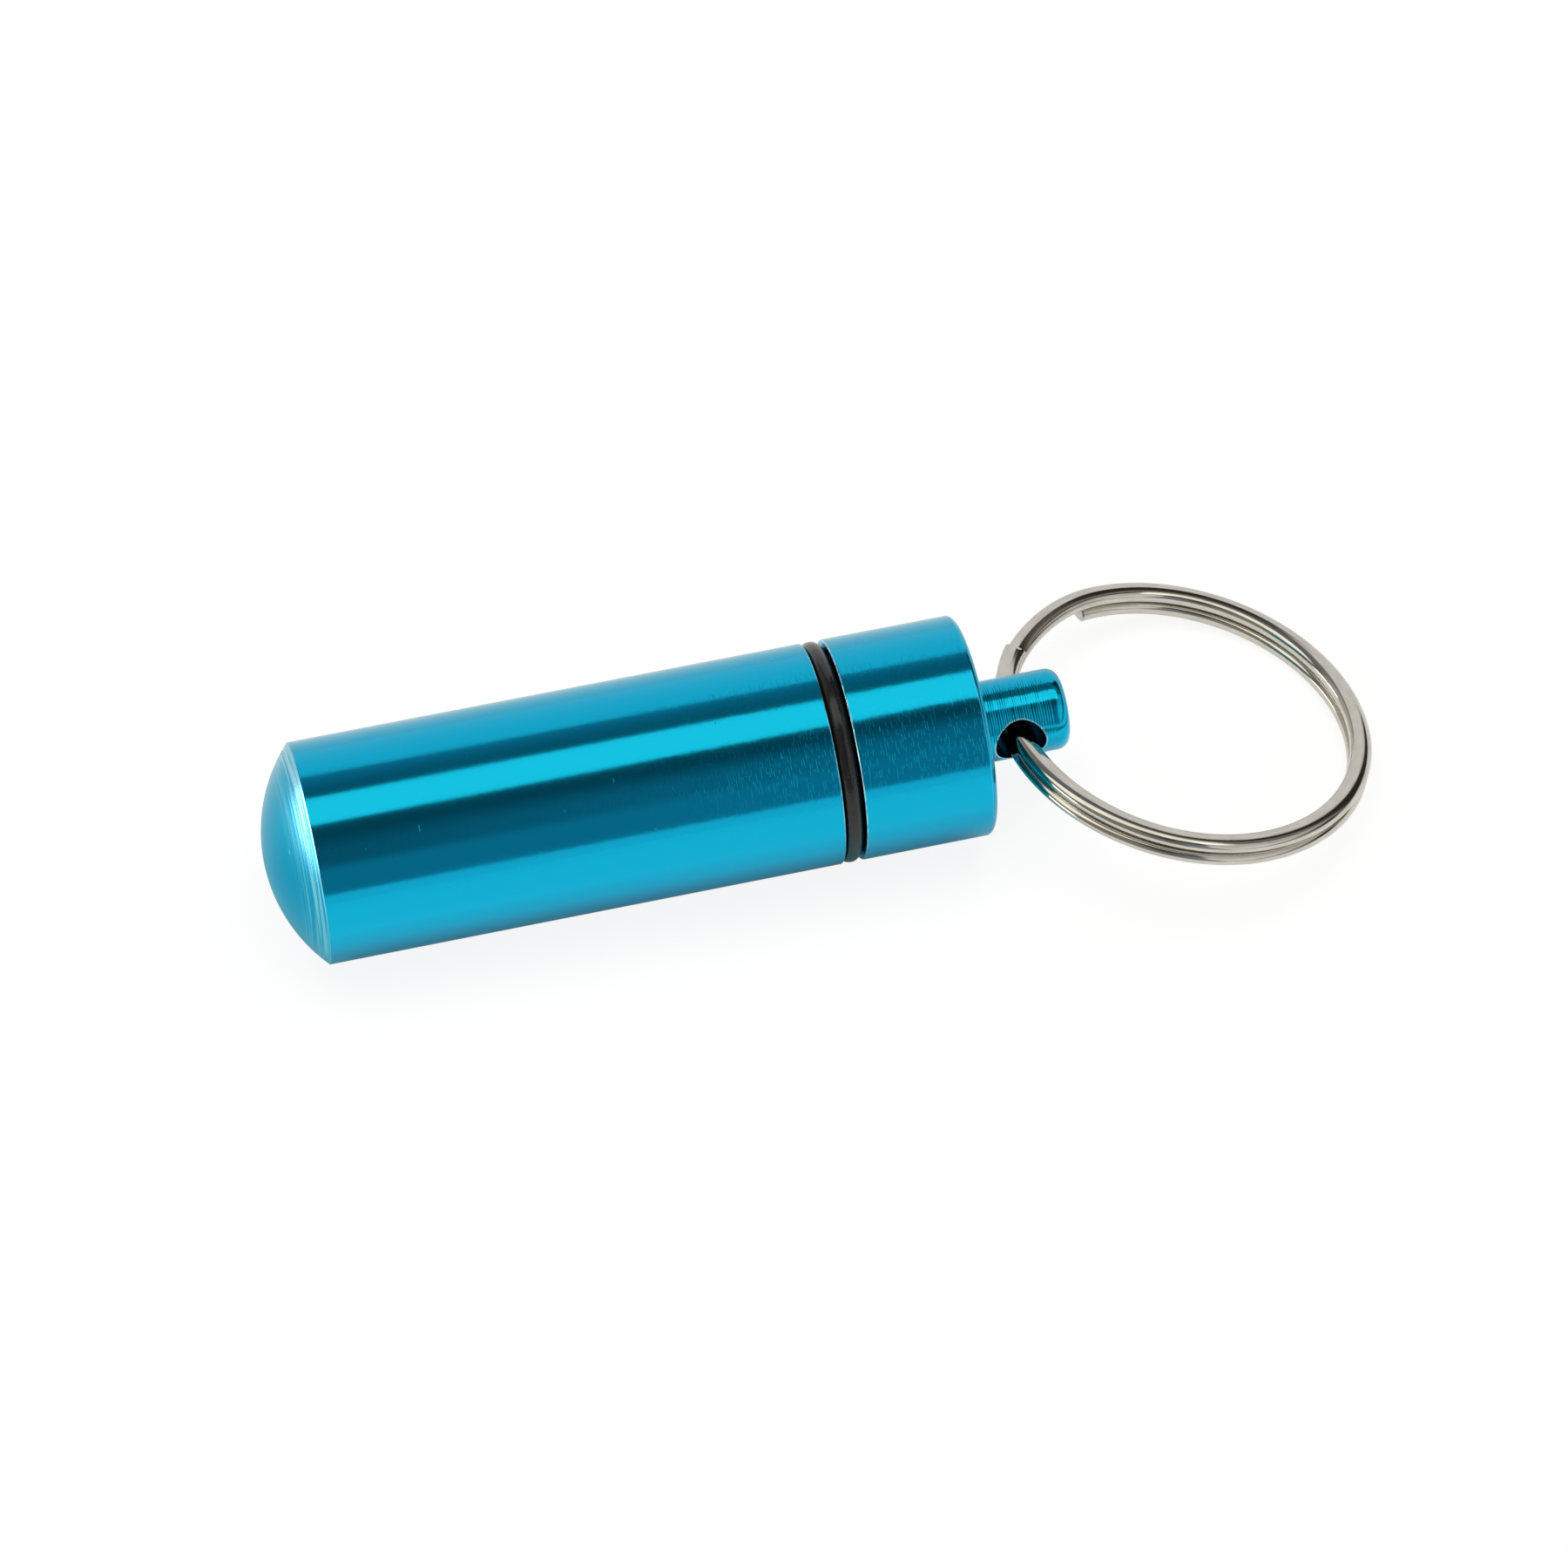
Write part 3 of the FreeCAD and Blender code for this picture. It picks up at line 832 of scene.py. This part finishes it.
def raised(tree, parts):
    """Bump from heights of 0 to 1, each with its size in millimetres."""
    height = None
    for part, size in parts:
        scaled = maths(tree, "MULTIPLY", part, size * MM)
        height = scaled if height is None else maths(tree, "ADD", height, scaled)
    return add(tree, "ShaderNodeBump", {"Strength": 1.0, "Distance": 1.0, "Height": height}).outputs[0]


def attribute(tree, name):
    """Output of a number that a piece keeps for each vertex."""
    return add(tree, "ShaderNodeAttribute", attribute_name=name).outputs["Fac"]


def hole_gap(tree):
    """How far a point of the piece lies from the axis of the ring's hole, in millimetres."""
    place = add(tree, "ShaderNodeTexCoord").outputs["Object"]
    centre = (MOUTH + Vector((HOLE_ALONG, 0, 0))) * MM
    apart = vectors(tree, "SUBTRACT", place, centre)["Vector"]
    across = vectors(tree, "CROSS_PRODUCT", apart, HOLE_AXIS)["Vector"]
    return maths(tree, "DIVIDE", vectors(tree, "LENGTH", across)["Value"], MM)


def anodised_colour(tree, place, peel):
    """Turquoise with painted highlight streaks at the dome's edge, lighter on edges with rubbed oxide and
    painted highlight, a painted highlight round the hole's rim, and painted shade in the hole.
    """
    # Painted highlight streaks near the dome's edge
    streaks = ranged(tree, noise(tree, place, *HIGHLIGHT_STREAK_NOISE), *STREAK_LEVELS)
    dome_highlight_streaks = maths(tree, "MULTIPLY", attribute(tree, "dome_highlight_streaks"), streaks)
    # Rubbed oxide and painted highlight along the edges, broken up by noise
    wear_and_highlight_share = ranged(tree, attribute(tree, "wear_and_highlight"), *EDGE_MARK_SHOWS)
    wear_and_highlight_share = maths(tree, "MULTIPLY", wear_and_highlight_share, ranged(tree, peel, *EDGE_MARK_BREAKS, EDGE_MARK_LEAST))
    gap = hole_gap(tree)
    # Painted highlight: a light band round the rim of the stem's hole
    rim_start, rim_full, rim_fade, rim_end = (HOLE_RADIUS + past for past in HOLE_RIM_PAST)
    rim = ranged(tree, gap, rim_start, rim_full, 0.0, HOLE_RIM_HIGHLIGHT)
    rim = maths(tree, "MULTIPLY", rim, ranged(tree, gap, rim_fade, rim_end, 1.0, 0.0))
    colour = blended(tree, dome_highlight_streaks, ANODISE_BLUE, PAINTED_HIGHLIGHT_BLUE)
    colour = blended(tree, maths(tree, "MAXIMUM", wear_and_highlight_share, rim), colour, WEAR_AND_HIGHLIGHT_BLUE)
    # Painted shade inside the ring's hole: the colour turns dark blue within it
    in_hole = ranged(tree, gap, HOLE_RADIUS, rim_start, 1.0, 0.0)
    return blended(tree, in_hole, colour, HOLE_PAINTED_SHADE)


def anodised(name):
    """Turned aluminium with a turquoise oxide skin: a brushed grain of fine rings and short ticks, a few
    nicks and a satin dome."""
    material, tree, shader = new_material(name)
    place = surface_place(tree)
    brushed = attribute(tree, "brushed")
    rings = maths(tree, "MULTIPLY", noise(tree, place, *RING_GRAIN), brushed)
    fine = maths(tree, "MULTIPLY", ticks(tree, place, *SHORT_TICKS), brushed)
    waves = maths(tree, "MULTIPLY", noise(tree, place, *WAVES), brushed)
    speckle = noise(tree, place, *SPECKLE)
    peel = noise(tree, place, *PEEL)
    nicks = ticks(tree, place, *NICKS)
    heights = [(rings, RING_GRAIN_HEIGHT), (fine, SHORT_TICKS_HEIGHT), (waves, WAVES_HEIGHT)]
    heights += [(speckle, SPECKLE_HEIGHT), (peel, PEEL_HEIGHT), (nicks, NICKS_HEIGHT)]
    tree.links.new(raised(tree, heights), shader.inputs["Normal"])
    tree.links.new(anodised_colour(tree, place, peel), shader.inputs["Base Color"])
    rough = ranged(tree, noise(tree, place, *PATCHES), *NOISE_LEVELS, *ANODISE_ROUGHNESS)
    satin = maths(tree, "MULTIPLY", attribute(tree, "satin"), DOME_ROUGHNESS_ADDED)
    tree.links.new(maths(tree, "ADD", rough, satin), shader.inputs["Roughness"])
    tangent = add(tree, "ShaderNodeTangent", direction_type="UV_MAP", uv_map="surface")
    tree.links.new(tangent.outputs[0], shader.inputs["Tangent"])
    shader.inputs["Anisotropic"].default_value = ANODISE_ANISOTROPY
    shader.inputs["Metallic"].default_value = 1.0
    return material


def rubber(name):
    """Black rubber, satin, with dust caught on it."""
    material, tree, shader = new_material(name)
    place = surface_place(tree)
    grain = noise(tree, place, *RUBBER_GRAIN)
    cloud = noise(tree, place, *DUST_CLOUDS)
    in_cloud = ranged(tree, cloud, *DUST_CLOUD_LEVELS)
    dust = maths(tree, "MULTIPLY", ranged(tree, grain, *DUST_GRAIN_LEVELS), in_cloud)
    rough = ranged(tree, grain, *NOISE_LEVELS, *RUBBER_ROUGHNESS)
    tree.links.new(blended(tree, dust, RUBBER, DUST), shader.inputs["Base Color"])
    tree.links.new(rough, shader.inputs["Roughness"])
    tree.links.new(raised(tree, [(grain, RUBBER_GRAIN_HEIGHT)]), shader.inputs["Normal"])
    shader.inputs["Specular IOR Level"].default_value = RUBBER_SPECULAR
    return material


def nickel_steel(name):
    """Nickel-plated spring steel with fine lines along the wire."""
    material, tree, shader = new_material(name)
    place = surface_place(tree)
    drawn = noise(tree, place, *DRAWN_LINES)
    patch = noise(tree, place, *STEEL_PATCHES)
    colour = blended(tree, ranged(tree, patch, *DULL_LEVELS), STEEL, STEEL_DULL)
    rough = ranged(tree, patch, *NOISE_LEVELS, *STEEL_ROUGHNESS)
    tree.links.new(colour, shader.inputs["Base Color"])
    tree.links.new(rough, shader.inputs["Roughness"])
    tree.links.new(raised(tree, [(drawn, DRAWN_LINES_HEIGHT)]), shader.inputs["Normal"])
    shader.inputs["Metallic"].default_value = 1.0
    return material


def paper(tree, lit_colour, glow_colour, glow, spread, far_glow):
    """Paper that the lamps light near the object, and that glows evenly further out."""
    lit = add(tree, "ShaderNodeBsdfDiffuse", {"Color": lit_colour})
    base = add(tree, "ShaderNodeEmission", {"Color": glow_colour, "Strength": glow})
    near = add(tree, "ShaderNodeAddShader", {0: lit.outputs[0], 1: base.outputs[0]})
    far = add(tree, "ShaderNodeEmission", {"Color": glow_colour, "Strength": far_glow})
    return add(tree, "ShaderNodeMixShader", {0: spread, 1: near.outputs[0], 2: far.outputs[0]}).outputs[0]


def by_ray(material, tree, seen, mirrored):
    """Gives a stage material one look for the camera, one in metal, and plain paper for other light."""
    path = add(tree, "ShaderNodeLightPath").outputs
    in_metal = maths(tree, "MAXIMUM", path["Is Glossy Ray"], path["Is Transmission Ray"])
    plain = add(tree, "ShaderNodeBsdfDiffuse", {"Color": PLAIN_PAPER})
    mix = add(tree, "ShaderNodeMixShader", {0: in_metal, 1: plain.outputs[0], 2: mirrored})
    mix = add(tree, "ShaderNodeMixShader", {0: path["Is Camera Ray"], 1: mix.outputs[0], 2: seen})
    tree.links.new(mix.outputs[0], tree.nodes["Material Output"].inputs["Surface"])
    return material


def over(tree, place, span, *levels):
    """Share, or level between two, that changes over a span of places given in millimetres."""
    return ranged(tree, place, *(limit * MM for limit in span), *levels)


def floor_white(name):
    """Paper that shows as white to the camera and in reflections, and keeps the object's shadow. In
    reflections it has painted shade, tinted blue near the fob and grey behind it.
    """
    material, tree, shader = new_material(name)
    tree.nodes.remove(shader)
    place = add(tree, "ShaderNodeNewGeometry").outputs["Position"]
    spread = over(tree, vectors(tree, "LENGTH", place)["Value"], GLOW_SPAN)
    along, back = add(tree, "ShaderNodeSeparateXYZ", {0: place}).outputs[:2]
    front = over(tree, back, CONTACT_FRONT_SPAN)
    right = over(tree, along, CONTACT_RIGHT_SPAN)
    # Painted shade in reflections: blue-tinted near where the fob lies, and grey behind it
    shade = blended(tree, maths(tree, "MAXIMUM", front, right), CONTACT_PAINTED_SHADE, WHITE)
    shade = blended(tree, over(tree, back, BEHIND_SPAN), shade, BEHIND_PAINTED_SHADE)
    seen = paper(tree, SEEN_LIT, WHITE, SEEN_GLOW, spread, 1.0)
    far_glow = over(tree, along, LEFT_SPAN, 1.0, LEFT_GLOW)
    mirrored = paper(tree, shade, shade, MIRRORED_GLOW, spread, far_glow)
    return by_ray(material, tree, seen, mirrored)


def wall_white(name):
    """Paper that stands round the floor and shows as white to the camera and in reflections."""
    material, tree, shader = new_material(name)
    tree.nodes.remove(shader)
    seen = add(tree, "ShaderNodeEmission", {"Color": WHITE, "Strength": 1.0})
    mirrored = add(tree, "ShaderNodeEmission", {"Color": WHITE, "Strength": WALL_MIRRORED})
    return by_ray(material, tree, seen.outputs[0], mirrored.outputs[0])


def stage(floor_material, wall_material):
    """Round floor with a paper wall that is low in front and at the sides, and high behind."""
    floor, wall = [], []
    spread = math.cos(math.radians(BACK_SPREAD_DEG))
    for step in range(STAGE_SEGMENTS):
        angle = 2 * math.pi * step / STAGE_SEGMENTS
        foot = Vector((STAGE_REACH * math.cos(angle), STAGE_REACH * math.sin(angle), 0))
        towards_back = (math.cos(angle - math.radians(BACK_TURN_DEG)) - spread) / (1 - spread)
        rise = FRONT_RISE_DEG + (BACK_RISE_DEG - FRONT_RISE_DEG) * smooth_share(towards_back)
        floor.append(foot)
        wall += [foot, foot + Vector((0, 0, STAGE_REACH * math.tan(math.radians(rise))))]
    count = len(wall)
    sides = [(at, (at + 2) % count, (at + 3) % count, at + 1) for at in range(0, count, 2)]
    round_face = list(range(STAGE_SEGMENTS))
    paper_floor = new_object("paper_floor", floor, [round_face], [(0, 0)] * STAGE_SEGMENTS, floor_material)
    paper_wall = new_object("paper_wall", wall, sides, [(0, 0)] * 2 * count, wall_material)


def area_lamp(name, middle, size, radiance, turn_deg=0.0):
    """Rectangular lamp that the camera doesn't see. Its radiance is the level at which a mirror shows it.
    It faces down before it is turned about the Y axis."""
    lamp = bpy.data.lights.new(name, "AREA")
    lamp.shape = "RECTANGLE"
    lamp.size, lamp.size_y = (side * MM for side in size)
    lamp.energy = radiance * math.pi * lamp.size * lamp.size_y
    holder = bpy.data.objects.new(name, lamp)
    holder.location = Vector(middle) * MM
    holder.rotation_euler = (0, math.radians(turn_deg), 0)
    holder.visible_camera = False
    bpy.context.scene.collection.objects.link(holder)
    return holder


def lamps():
    """Long softbox above the fob, a lamp on each side, and a broad fill that shows in no reflection."""
    front = -SOFTBOX_HEIGHT / math.tan(math.radians(SOFTBOX_FRONT_DEG))
    back = -SOFTBOX_HEIGHT / math.tan(math.radians(SOFTBOX_BACK_DEG))
    middle = ((SOFTBOX_LEFT + SOFTBOX_RIGHT) / 2, (front + back) / 2, SOFTBOX_HEIGHT)
    softbox = area_lamp("softbox", middle, (SOFTBOX_RIGHT - SOFTBOX_LEFT, back - front), SOFTBOX_RADIANCE)
    softbox.data.color = SOFTBOX_COLOUR
    fill = area_lamp("fill", (0, 0, FILL_HEIGHT), (FILL_SIZE, FILL_SIZE), FILL_RADIANCE)
    fill.visible_glossy = False
    for side_lamp in SIDE_LAMPS:
        area_lamp(*side_lamp)


def room():
    """Dim room around the stage, darkest high up, with levels that differ from side to side."""
    world = bpy.data.worlds.new("room")
    world.use_nodes = True
    tree = world.node_tree
    direction = add(tree, "ShaderNodeTexCoord").outputs["Generated"]
    side, back, up = add(tree, "ShaderNodeSeparateXYZ", {0: direction}).outputs
    rise = maths(tree, "ARCTAN2", up, maths(tree, "MULTIPLY", back, -1.0))
    left_front = ranged(tree, side, *ROOM_LEFT_FRONT_SIDES, *ROOM_LEFT_FRONT)
    left_back = ranged(tree, side, *ROOM_LEFT_BACK_SIDES, *ROOM_LEFT_BACK)
    middle = ranged(tree, side, *ROOM_MIDDLE_SIDES, *ROOM_MIDDLE)
    high = ranged(tree, side, *ROOM_HIGH_SIDES, *ROOM_HIGH)
    behind = ranged(tree, side, *ROOM_BACK_SIDES, *ROOM_BACK)
    low_behind = ranged(tree, side, *ROOM_BACK_SIDES, *ROOM_LOW_BACK)
    zones = [
        (ROOM_MIDDLE_DEG, maths(tree, "MAXIMUM", middle, left_front)),
        (ROOM_HIGH_DEG, maths(tree, "MAXIMUM", high, left_front)),
        (ROOM_BACK_DEG, behind),
        (ROOM_LOW_BACK_DEG, maths(tree, "MAXIMUM", low_behind, left_back)),
    ]
    level = ROOM_FRONT
    for limits, zone_level in zones:
        level = ranged(tree, rise, *(math.radians(limit) for limit in limits), level, zone_level)
    at_left = ranged(tree, side, *ROOM_LEFT_COLOUR_SIDES)
    at_right = ranged(tree, side, *ROOM_RIGHT_COLOUR_SIDES)
    colour = blended(tree, maths(tree, "MAXIMUM", at_left, at_right), ROOM_COLOUR, ROOM_SIDE_COLOUR)
    background = tree.nodes["Background"].inputs
    tree.links.new(colour, background["Color"])
    tree.links.new(level, background["Strength"])
    bpy.context.scene.world = world


def photo_camera():
    """Camera at the photograph's viewing angle."""
    azimuth = math.radians(CAMERA_AZIMUTH_DEG)
    elevation = math.radians(CAMERA_ELEVATION_DEG)
    level = Vector((math.sin(azimuth), -math.cos(azimuth), 0))
    toward = level * math.cos(elevation) + Vector((0, 0, math.sin(elevation)))
    right = Vector((math.cos(azimuth), math.sin(azimuth), 0))
    up = toward.cross(right)
    aim = Vector((MOUTH.x, MOUTH.y, 0)) + right * CAMERA_AIM_RIGHT + up * CAMERA_AIM_UP
    camera = bpy.data.cameras.new("photo_camera")
    camera.sensor_width = CAMERA_SENSOR
    camera.lens = CAMERA_LENS
    camera.clip_start = CAMERA_NEAR * MM
    holder = bpy.data.objects.new("photo_camera", camera)
    turn = Matrix((right, up, toward)).transposed().to_4x4()
    holder.matrix_world = Matrix.Translation((aim + toward * CAMERA_DISTANCE) * MM) @ turn
    bpy.context.scene.collection.objects.link(holder)
    bpy.context.scene.camera = holder


def main():
    """Makes the four pieces and the studio around them."""
    canister(anodised("anodised_body"))
    screw_cap(anodised("anodised_cap"))
    seal(rubber("seal_rubber"))
    split_ring(nickel_steel("ring_steel"))
    stage(floor_white("floor_white"), wall_white("wall_white"))
    lamps()
    room()
    photo_camera()
    bpy.context.scene.view_settings.view_transform = "Standard"


main()
